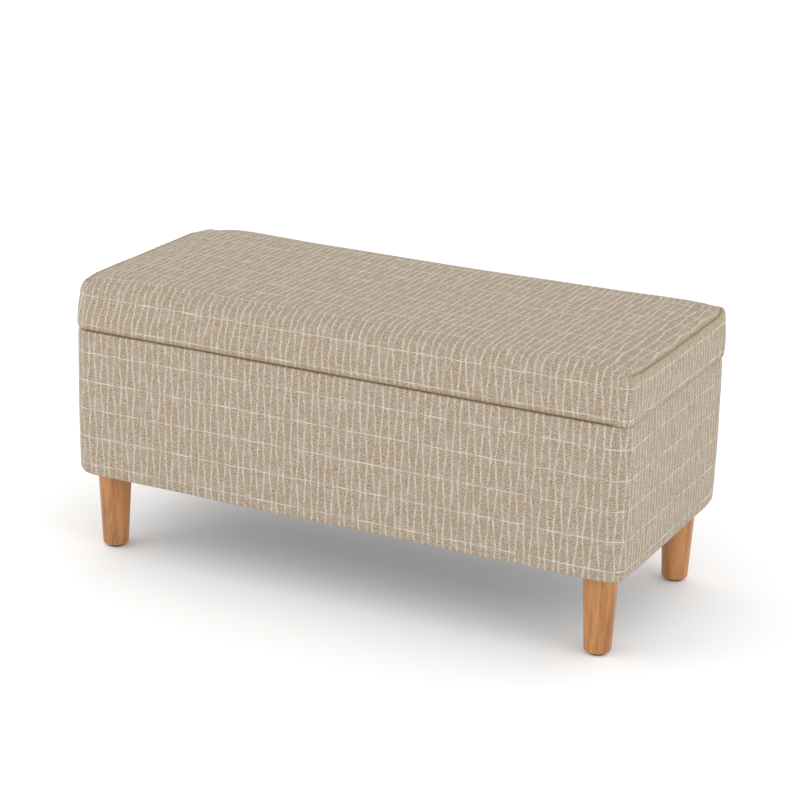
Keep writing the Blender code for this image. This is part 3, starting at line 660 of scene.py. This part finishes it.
def sew(shell, points, lines, depth, width, pucker, reach, ridge=0.0):
    """Pulls the cloth in along its seams, with the ridge of the turned-in edges and the gathers beside it.

    Returns the points, each one's distance from a seam and the gathers' wave there."""
    normals = vertex_normals(shell, points)
    tree_points, along = [], []
    for line in lines:
        path = points[line]
        run = run_lengths(path)
        steps = np.arange(0, run[-1], 0.0015)
        tree_points.append(np.stack([np.interp(steps, run, path[:, i]) for i in range(3)], 1))
        along.append(steps + len(along) * 3.3)
    tree_points, along = np.concatenate(tree_points), np.concatenate(along)
    tree = kdtree.KDTree(len(tree_points))
    for i, point in enumerate(tree_points):
        tree.insert(point, i)
    tree.balance()
    gap, run = np.empty(len(points)), np.empty(len(points))
    for i, point in enumerate(points):
        _, j, distance = tree.find(point)
        gap[i], run[i] = distance, along[j]
    waves = np.sin(run * 2 * math.pi / 0.0135 + 1.7 * np.sin(run * 61)) * (0.6 + 0.4 * np.sin(run * 37))
    push = -depth * np.exp(-((gap / width) ** 2)) + ridge * np.exp(-((gap / 0.0065) ** 2))
    push += pucker * waves * np.exp(-gap / reach) * (1 - np.exp(-((gap / 0.002) ** 2)))
    return points + normals * push[:, None], gap, waves


def mark(piece, amount, name="painted_shade"):
    """Writes a value for each point that the cloth reads: how much painted shade it gets in a seam or gap, or
    how far it is gathered.
    """
    layer = piece.data.attributes.new(name, "FLOAT", "POINT")
    layer.data.foreach_set("value", np.asarray(amount, np.float32))


def soft_ripple(points, normals, size, scale, seed):
    """Long shallow unevenness, as of cloth over foam."""
    rng = np.random.default_rng(seed)
    total = np.zeros(len(points))
    for _ in range(6):
        direction = rng.normal(size=3)
        direction *= 2 * math.pi / (scale * rng.uniform(0.7, 1.6)) / np.linalg.norm(direction)
        total += np.sin(points @ direction + rng.uniform(0, 6.28))
    return points + normals * (total * size / 6)[:, None]


def clear_hinges(points, up):
    """Presses a cover in over the hinges' leaves and round their knuckles.

    up is 1 for the lid's cover and -1 for the body's."""
    points = points.copy()
    face = LID_Z if up > 0 else RIM_Z
    for side, _ in HANDS:
        low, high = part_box(f"hinge_body_leaf_{side}")
        pin_low, pin_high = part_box(f"hinge_pin_{side}")
        centre, half = (low.x + high.x) / 2, (high.x - low.x) / 2
        pin_y, pin_z = (pin_low.y + pin_high.y) / 2, (pin_low.z + pin_high.z) / 2
        round_pin = high.y - pin_y + 0.0009
        share = np.clip((half + 0.010 - np.abs(points[:, 0] - centre)) / 0.005, 0, 1)
        share *= (np.abs(points[:, 2] - face) < 0.006) & (points[:, 1] > low.y - 0.003)
        y, z = points[:, 1] - pin_y, points[:, 2] - pin_z
        pressed = np.where(points[:, 1] < pin_y, np.maximum(z * up, (face - pin_z) * up + 0.0001), z * up)
        distance = np.hypot(y, pressed)
        swollen = np.sqrt(np.maximum(round_pin**2 - y**2, 0))
        pressed = np.where(distance < round_pin, np.maximum(pressed, swollen), pressed)
        points[:, 2] += share * (pressed * up - z)
    return points


def make_lid_cover():
    dense = lid_shell(12, 0.0014, 0.0055, 2)
    points = dense.coordinates()
    coarse = lid_shell(4, 0.005, 0.011, 1)
    points = points + spread(relaxed_lid(coarse), coarse.coordinates(), points)
    joint = np.clip((points[:, 2] - LID_Z) / 0.006, 0, 1)[:, None]
    points = mix(points, soft_ripple(points, vertex_normals(dense, points), 0.0007, 0.16, 3), joint)
    lines = seam_lines(dense)
    upright, over = [lines[i] for i in (0, 2, 3, 5)], [lines[i] for i in (1, 4)]
    seat_side = np.abs(points[:, 0]) < LID_X + 0.0005 - by_end(SEAM_INSET, np.sign(points[:, 0]))
    shape = {"depth": 0.0016, "width": 0.0016, "pucker": 0.0006, "reach": 0.013, "ridge": 0.0004}
    points, gap, waves = sew(dense, points, over, **shape)
    # Painted shade along the end seams: a darker band on the seat side, a fainter one on the end, and a thin
    # dark line in each seam, all stronger at the right end.
    band = 0.0062 + 0.0020 * waves
    # Where the cloth is gathered at the end seams; the cloth paints the gathers' crests lighter there, a
    # painted highlight, stronger at the right end.
    gathered = np.exp(-((gap / 0.0115) ** 4)) * np.where(points[:, 0] > 0, 1.0, 0.4)
    on_seat, on_end = 0.60 * np.exp(-((gap / band) ** 4)), 0.46 * np.exp(-((gap / (band * 1.6)) ** 4))
    painted_shade = np.where(seat_side, on_seat, on_end)
    painted_shade = np.maximum(painted_shade, 0.80 * np.exp(-((gap / 0.0013) ** 2))) * np.where(points[:, 0] > 0, 1.0, 0.3)
    shape = {"depth": 0.0016, "width": 0.0014, "pucker": 0.0003, "reach": 0.008, "ridge": 0.0018}
    sewn, gap, _ = sew(dense, points, upright, **shape)
    points = clear_hinges(mix(points, sewn, joint), 1)
    # A thin line of painted shade in each upright corner seam.
    painted_shade = np.maximum(painted_shade, 0.40 * np.exp(-((gap / 0.0010) ** 2)))
    # Painted shadow of the gap under the lid: the cover's outer lower edge is darkened, less towards the
    # ends.
    height = points[:, 2] - LID_Z
    long_side = np.clip((LID_X - 0.020 - np.abs(points[:, 0])) / 0.010, 0.25, 1)
    edge = np.clip(1 - height / 0.0032, 0, 0.66) + 0.12 * np.exp(-((height / 0.0070) ** 2))
    under = np.minimum(LID_X - np.abs(points[:, 0]), LID_Y - np.abs(points[:, 1]))
    painted_shade = np.maximum(painted_shade, edge * long_side * np.clip((0.0065 - under) / 0.0025, 0, 1))
    cover = dense.build("lid_upholstery", CLOTH, points)
    mark(cover, painted_shade)
    mark(cover, gathered, "gathered")
    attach(cover, "lid")
    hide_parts("lid_cover", "lid_foam", "lid_edge_padding")


# --- Body cover -------------------------------------------------------

BODY_SPLIT = 66  # the front and back cloth turn this far round the corners, to seams on the ends


def make_body_cover():
    shell = Shell()
    outline = Outline(BODY_X, BODY_Y, BODY_SPLIT, 9, 0.0016, 0.0055)
    end, corner = outline.on_end, near_corner(outline, 0.020)
    edge, body_radius = mix(0.0065, 0.0125, corner), 0.027
    rim = RIM_Z + mix(0.0012, 0.0013, end)
    roll, wall, inner = 0.0042, 0.0202, 0.0215 + 0.050
    rows = []
    for share in np.linspace(1, 0, 7)[:-1]:
        rows.append((mix(edge, 0.030, share), body_radius, BODY_Z + 0.0002))
    for out, rise in zip(*(travel[::-1] for travel in quarter(1, 6))):
        rows.append((edge * out, body_radius, BODY_Z + edge * (1 - rise)))
    low, high = BODY_Z + edge, rim - roll
    for share in np.linspace(0, 1, 47)[1:-1]:
        belly = 0.0016 * math.sin(math.pi * share) ** 0.6
        rows.append((-belly, body_radius, mix(low, high, share)))
    anchor = 30
    for out, rise in zip(*quarter(1, 8)):
        rows.append((roll * out, body_radius, high + roll * rise))
    rows.append(((roll + wall) / 2, 0.040, rim))
    side, drop = quarter(0.0015, 3)
    for out, fall in zip(side[::-1], drop[::-1]):
        rows.append((wall + 0.0015 - out, inner, rim - 0.0015 + fall))
    for z in np.linspace(RIM_Z - 0.0015, RIM_Z - 0.026, 6)[1:]:
        rows.append((wall + 0.0015, inner, z))
    sides = add_strips(shell, outline, rows, anchor, BODY_ROW_AT, (0.6031, 5.511, 1.204, 7.733))
    points = shell.coordinates()
    outside = points[:, 2] < RIM_Z - 0.0005
    rippled = soft_ripple(points, vertex_normals(shell, points), 0.0008, 0.14, 11)
    points = np.where(outside[:, None], rippled, points)
    lines = [sides[k][0][:-12, column] for k in (1, 3) for column in (0, -1)]
    shape = {"depth": 0.0012, "width": 0.0014, "pucker": 0.00025, "reach": 0.009, "ridge": 0.0009}
    sewn, gap, _ = sew(shell, points, lines, **shape)
    points = mix(points, sewn, np.clip((RIM_Z - points[:, 2]) / 0.005, 0, 1)[:, None])
    points = clear_hinges(points, -1)
    cover = shell.build("body_upholstery", CLOTH, points)
    # Painted shade: the cloth is darkened along the rim's outer roll, where the gap under the lid falls, less
    # towards the ends, and in a thin line in each corner seam.
    near_face = np.maximum(np.abs(points[:, 1]) - BODY_Y, np.abs(points[:, 0]) - BODY_X) > -0.007
    painted_shade = np.where(near_face, 0.50 * np.clip((points[:, 2] - RIM_Z + 0.0014) / 0.0026, 0, 1), 0)
    painted_shade *= np.clip((BODY_X - 0.020 - np.abs(points[:, 0])) / 0.010, 0.25, 1)
    mark(cover, np.maximum(painted_shade, 0.30 * np.exp(-((gap / 0.0010) ** 2))))
    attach(cover, "base")
    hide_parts("body_cover", "body_padding")


# --- Linings ----------------------------------------------------------


def make_storage_lining():
    """A sewn bag of spun cloth, a little slack on its walls and flat on its floor."""
    shell = Shell()
    low, high = lining_low.z, RIM_Z - 0.022
    inset = BODY_X - lining_high.x + 0.0004
    outline = Outline(BODY_X, BODY_Y, 45, 5, 0.005, 0.008)
    rows = [(inset, inset + 0.056, z) for z in np.linspace(high, low + 0.006, 34)]
    rows += [(inset + out, inset + 0.056, low + 0.006 - drop) for out, drop in zip(*quarter(0.006, 4))]
    sides = add_strips(shell, outline, rows, 0, 0)
    add_cap(shell, sides, lambda plan: np.full(len(plan), low + 0.0002))
    points = shell.coordinates()
    normals = vertex_normals(shell, points)
    height = (points[:, 2] - low) / (high - low)
    around = points[:, 0] * 1.0 + points[:, 1] * 1.7
    slack = np.sin(around * 46 + 2.0 * np.sin(height * 5.0)) * np.sin(around * 17 + 1.3)
    slack = slack * (1 - height) * 0.0014
    creases = np.abs(np.sin(points[:, 0] * 11 + points[:, 1] * 19 + 0.8 * np.sin(points[:, 1] * 31)))
    floor = np.exp(-((height / 0.02) ** 2)) * 0.0008 * (1 - creases) ** 3
    inward = -np.sign((normals * (points - (0, 0, (low + high) / 2))).sum(1))
    points = points + normals * (inward * np.where(height > 0.03, np.abs(slack), 0))[:, None]
    points[:, 2] += floor
    bag = shell.build("lining_bag", LINING, points)
    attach(bag, "base")
    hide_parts("storage_lining")


def flat_cloth(name, material, half_x, half_y, z, body, node, slot, board):
    """A stapled sheet on an underside, with a folded edge, sagging a little in shallow waves inside it."""
    shell = Shell()
    outline = Outline(half_x, half_y, 45, 4, 0.005, 0.007, radius=0.012)
    profile = ((0.0020, 0), (0.0004, 0.0007), (0, 0.0010))
    profile += ((0.003, 0.0012), (0.009, 0.0010), (0.012, 0.0006))
    rows = [(inset, 0.016, z - depth) for inset, depth in profile]
    sides = add_strips(shell, outline, rows, 0, 0)

    def sag(plan):
        wave = np.sin(plan[:, 0] * 23 + 0.7) * np.sin(plan[:, 1] * 31 + plan[:, 0] * 9)
        return z - (0.0006 + 0.0006 * np.abs(wave))

    add_cap(shell, sides, sag)
    sheet = shell.build(name, material)
    sheet.data.flip_normals()
    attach(sheet, body)
    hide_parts(node)


# --- Turned and fitted pieces -----------------------------------------


def lathe(name, profile, steps, material, location=(0, 0, 0), turn=None):
    """A turned solid from its (radius, z) profile, closed at both ends."""
    angles = np.linspace(0, 2 * math.pi, steps, endpoint=False)
    bm = bmesh.new()
    rings = [[bm.verts.new((r * math.cos(a), r * math.sin(a), z)) for a in angles] for r, z in profile]
    skin(bm, rings)
    made = smooth_piece(name, bm, material, sharp=50)
    made.matrix_world = Matrix.Translation(location) @ (turn or Matrix.Identity(4))
    return made


def make_legs():
    """Straight tapered legs with a softly rounded foot, each with its own grain."""
    for number, corner in enumerate(CORNERS):
        low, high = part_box(f"leg_{corner}")
        centre = (low + high) / 2
        top, foot, edge = (high.x - low.x) / 2, 0.0220, 0.0045
        profile = [(foot - edge - 0.004, low.z)]
        side, up = quarter(edge, 8)
        profile += [(foot - s, low.z + edge - u) for s, u in zip(side[::-1], up[::-1])]
        heights = np.linspace(low.z + edge, high.z - 0.0008, 30)[1:]
        slope = (top - foot) / (high.z - low.z - edge)
        profile += [(foot + slope * (z - low.z - edge), z) for z in heights]
        profile += [(top - 0.0008, high.z)]
        spin = Matrix.Rotation(math.radians(37 + 90 * number), 4, "Z")
        leg = lathe(f"turned_leg_{corner}", profile, 96, WOOD, (centre.x, centre.y, 0), spin)
        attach(leg, "base")
        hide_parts(f"leg_{corner}")


def screw(name, location, outward, radius, body, flat=0.0):
    """A pan head with a cross recess, or a flat one that stands only so far above its plate."""
    steps = 48
    angles = np.linspace(0, 2 * math.pi, steps, endpoint=False)

    def cross(size, half):
        reach = []
        for a in angles:
            c, s = abs(math.cos(a)), abs(math.sin(a))
            bar = min(size / max(c, 1e-6), half / max(s, 1e-6))
            other = min(size / max(s, 1e-6), half / max(c, 1e-6))
            reach.append(max(bar, other))
        return reach

    h = radius * 0.55
    rings = [([radius] * steps, 0), ([radius] * steps, h * 0.25), ([radius * 0.92] * steps, h * 0.62)]
    rings += [([radius * 0.74] * steps, h * 0.9), ([radius * 0.62] * steps, h)]
    if flat:
        h, sunk = flat, radius * 0.42
        rings = [([radius * 0.6] * steps, -sunk), ([radius * 0.6] * steps, 0), ([radius] * steps, 0)]
        rings += [([radius] * steps, h * 0.4), ([radius * 0.93] * steps, h)]
    floor = h - radius * 0.36
    rings += [(cross(radius * 0.56, radius * 0.13), h), (cross(radius * 0.50, radius * 0.10), floor)]
    bm = bmesh.new()
    loops = []
    for reach, z in rings:
        loops.append([bm.verts.new((r * math.cos(a), r * math.sin(a), z)) for r, a in zip(reach, angles)])
    skin(bm, loops)
    made = smooth_piece(name, bm, ZINC, sharp=40)
    spin = Matrix.Rotation(RNG.uniform(0, 1.5), 4, "Z")
    facing = Vector(outward).to_track_quat("Z", "Y").to_matrix().to_4x4()
    made.matrix_world = Matrix.Translation(location) @ facing @ spin
    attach(made, body)


def make_screws():
    for side, sign in HANDS:
        for leaf, body, up in (("hinge_body_leaf", "base", 1), ("hinge_lid_leaf", "lid", -1)):
            low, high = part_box(f"{leaf}_{side}")
            piece = bpy.data.objects[f"{leaf}_{side}"]
            places = [piece.matrix_world @ v.co for v in piece.data.vertices]
            plate = max(p.z * up for p in places if p.y < low.y + 0.010) * up
            for number, share in enumerate((0.16, 0.5, 0.84)):
                place = (low.x + (high.x - low.x) * share, low.y + 0.0072, plate)
                screw(f"{leaf}_screw_{side}_{number}", place, (0, 0, up), 0.0026, body, flat=0.00010)
        low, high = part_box(f"stay_wall_bracket_{side}")
        face = low.x if sign > 0 else high.x
        for number, z in enumerate((low.z + 0.009, high.z - 0.009)):
            place = (face, (low.y + high.y) / 2, z)
            screw(f"stay_wall_screw_{side}_{number}", place, (-sign, 0, 0), 0.0034, "base", flat=0.00024)
        low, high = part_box(f"stay_lid_bracket_{side}")
        x = low.x + 0.007 if sign > 0 else high.x - 0.007
        for number, y in enumerate((low.y + 0.008, high.y - 0.008)):
            screw(f"stay_lid_screw_{side}_{number}", (x, y, high.z - 0.0015), (0, 0, -1), 0.0034, "lid")


def staples(name, places, body):
    """Wire staples, each (x, y, z, heading, up): crowns that lie on the cloth with their legs going in."""
    bm = bmesh.new()
    wire, half, leg = 0.00055, 0.0050, 0.0022
    bend = 0.0006
    outline = [(-half, -leg), (-half, 0), (-half + bend, 0.0005)]
    outline += [(half - bend, 0.0005), (half, 0), (half, -leg)]
    for x, y, z, heading, up in places:
        along = Vector((math.cos(heading), math.sin(heading), 0))
        rise = Vector((0, 0, up))
        across = along.cross(rise)
        rings = []
        for i, (a, h) in enumerate(outline):
            centre = Vector((x, y, z)) + along * a + rise * h
            before, after = outline[max(i - 1, 0)], outline[min(i + 1, len(outline) - 1)]
            tangent = (along * (after[0] - before[0]) + rise * (after[1] - before[1])).normalized()
            normal = tangent.cross(across).normalized()
            rings.append([
                bm.verts.new(centre + (across * math.cos(k) + normal * math.sin(k)) * wire)
                for k in np.linspace(0, 2 * math.pi, 6, endpoint=False)
            ])
        skin(bm, rings)
    bmesh.ops.recalc_face_normals(bm, faces=bm.faces)
    made = smooth_piece(name, bm, STAPLE_WIRE)
    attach(made, body)


def edge_places(half_x, half_y, z, spacing, up, skip=()):
    """Places for staples round a rectangle, leaning slightly. skip holds spans of x left free at the back."""
    places = []
    for run, fixed, across in ((half_x, half_y, False), (half_y, half_x, True)):
        count = round(2 * (run - 0.02) / spacing)
        for sign in (-1, 1):
            for k in range(count + 1):
                at = -run + 0.02 + 2 * (run - 0.02) * k / count + RNG.uniform(-0.003, 0.003)
                lean = RNG.uniform(-0.16, 0.16)
                shift = RNG.uniform(-0.0008, 0.0008)
                if across:
                    places.append((sign * fixed + shift, at, z, math.pi / 2 + lean, up))
                elif not (sign > 0 and any(a < at < b for a, b in skip)):
                    places.append((at, sign * fixed + shift, z, lean, up))
    return places


# --- Studio -----------------------------------------------------------


def make_studio():
    bm = bmesh.new()
    bmesh.ops.create_grid(bm, x_segments=8, y_segments=8, size=30)
    mesh = bpy.data.meshes.new("studio_floor")
    bm.to_mesh(mesh)
    bm.free()
    glow = {"Emission_Color": (1.0, 1.0, 1.0), "Emission_Strength": 0.08}
    n = Nodes("studio_floor", Roughness=0.9, Specular_IOR_Level=0.1, **glow)
    clouds = n.noise(n.position(), 0.8, 2.0)
    n.set("Base Color", n.mix(clouds, (0.955, 0.955, 0.955), (0.965, 0.965, 0.965)))
    mesh.materials.append(n.material)
    floor = linked("studio_floor", mesh)

    world = bpy.data.worlds.new("studio")
    world.use_nodes = True
    world.node_tree.nodes["Background"].inputs["Color"].default_value = (1, 1, 1, 1)
    world.node_tree.nodes["Background"].inputs["Strength"].default_value = 1.03
    bpy.context.scene.world = world

    aim = Vector((0, 0, 0.25))
    for name, place, size, power, colour in (
        ("key_softbox", (-2.9, -2.5, 1.8), 2.4, 27, (1.0, 0.97, 0.93)),
        ("side_softbox", (3.6, -0.9, 1.5), 2.4, 20, (0.90, 0.95, 1.0)),
    ):
        light = bpy.data.lights.new(name, "AREA")
        light.shape, light.size, light.energy, light.color = "SQUARE", size, power, colour
        made = linked(name, light)
        made.location = place
        made.rotation_euler = (aim - Vector(place)).to_track_quat("-Z", "Y").to_euler()
    bpy.context.scene.view_settings.view_transform = "Standard"
    bpy.context.scene.cycles.denoising_prefilter = "NONE"  # a smoothed guide would wipe out the weave


def make_camera():
    data = bpy.data.cameras.new("camera")
    data.lens, data.sensor_width = 107.947, 36.0
    camera = linked("camera", data)
    yaw, down, roll = 0.4615, 0.3271, 0.0240
    turn = Matrix.Rotation(yaw, 4, "Z") @ Matrix.Rotation(math.pi / 2 - down, 4, "X")
    turn = turn @ Matrix.Rotation(roll, 4, "Z")
    camera.matrix_world = Matrix.Translation((1.6947, -3.3926, 1.5768)) @ turn
    bpy.context.scene.camera = camera


# --- Assembly ---------------------------------------------------------


def paint_frame():
    """Gives each frame node that still shows the material for its kind."""
    for name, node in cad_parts.items():
        for key, (material, slot) in FRAME_MATERIALS.items():
            if key in name:
                node.data.materials.clear()
                node.data.materials.append(material)


def main():
    make_camera()
    paint_frame()
    make_lid_cover()
    make_body_cover()
    make_storage_lining()
    inside = (LID_X - 0.034, LID_Y - 0.034, LID_Z + 0.0006)
    under = (BODY_X - 0.022, BODY_Y - 0.022, BODY_Z + 0.0006)
    flat_cloth("lid_underlay", LINING, *inside, "lid", "lid_lining", "lining", "lid_board")
    flat_cloth("under_cloth", DUST_CLOTH, *under, "base", "dust_cover", "dust_cloth", "bottom_panel")
    make_legs()
    make_screws()
    hinge_x, clear = 0.3, 0.04
    hinge_spans = [(s * hinge_x - clear, s * hinge_x + clear) for s in (-1, 1)]
    lid_places = edge_places(LID_X - 0.038, LID_Y - 0.038, LID_Z - 0.0003, 0.045, -1, hinge_spans)
    staples("lid_staples", lid_places, "lid")
    under_places = edge_places(BODY_X - 0.026, BODY_Y - 0.026, BODY_Z - 0.0003, 0.05, -1)
    staples("under_staples", under_places, "base")
    make_studio()


main()
